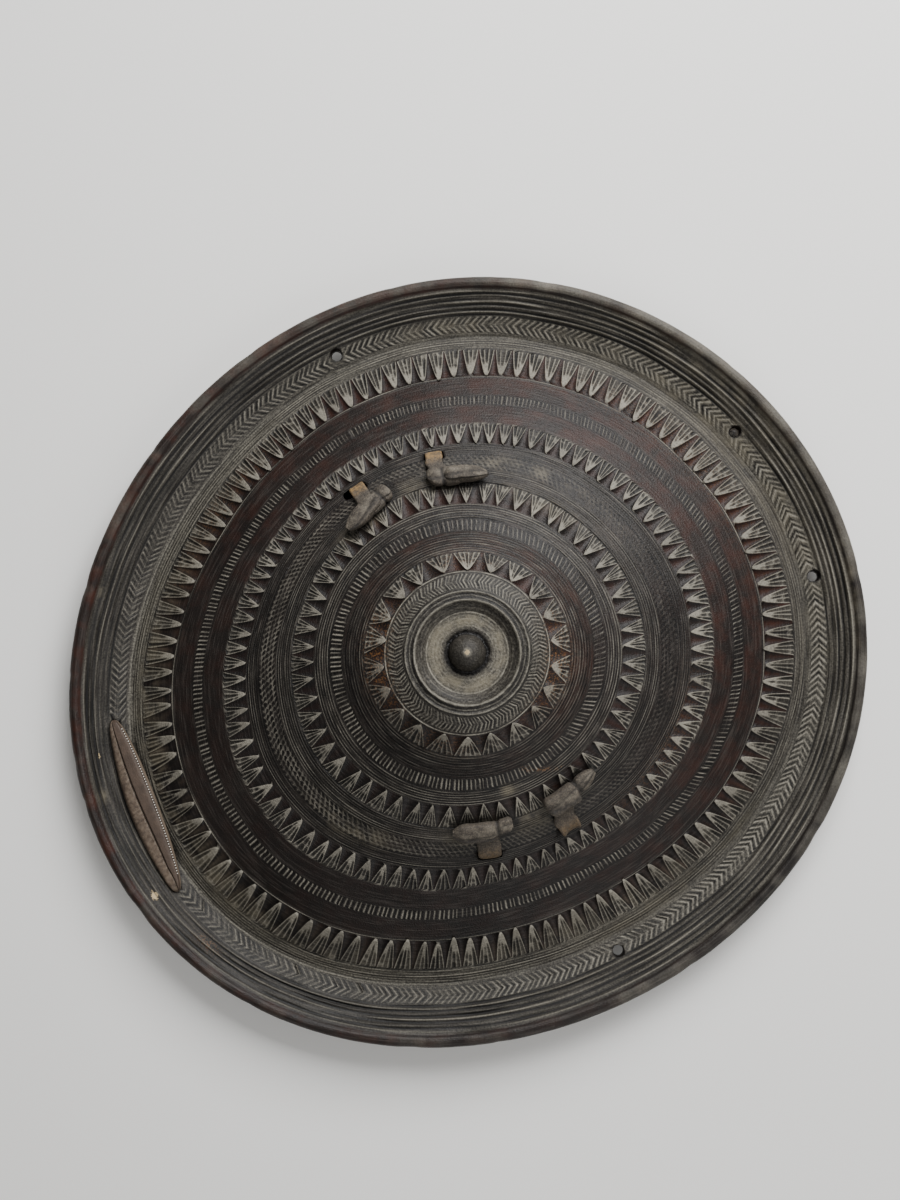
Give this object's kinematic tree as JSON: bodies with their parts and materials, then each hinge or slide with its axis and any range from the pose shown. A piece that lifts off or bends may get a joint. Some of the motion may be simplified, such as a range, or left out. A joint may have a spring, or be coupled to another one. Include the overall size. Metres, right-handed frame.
{
  "type": "round hide shield",
  "caption": "Round moulded hide shield with a knobbed boss, carved rings and an upturned rim, gripped by leather straps behind.",
  "frame": {"origin": "middle of the box in plan, on the flat under the trough that the shield lies on", "axes": "+Z is out of the face, through the knob; +Y is the upper side in the picture"},
  "size_m": [0.6046, 0.5844, 0.1228],
  "materials": {
    "hide": "thick dark hide, carved, worn grey on the high points, dusty in the cuts",
    "grip_leather": "dry undyed leather, grey brown with tan edges",
    "strap_leather": "brown leather strap, folded and stitched with pale thread"
  },
  "bodies": {
    "root": {"hide_shell": "hide", "grip_strap_left": "grip_leather", "grip_strap_right": "grip_leather", "rim_strap": "strap_leather"}
  },
  "joints": []
}
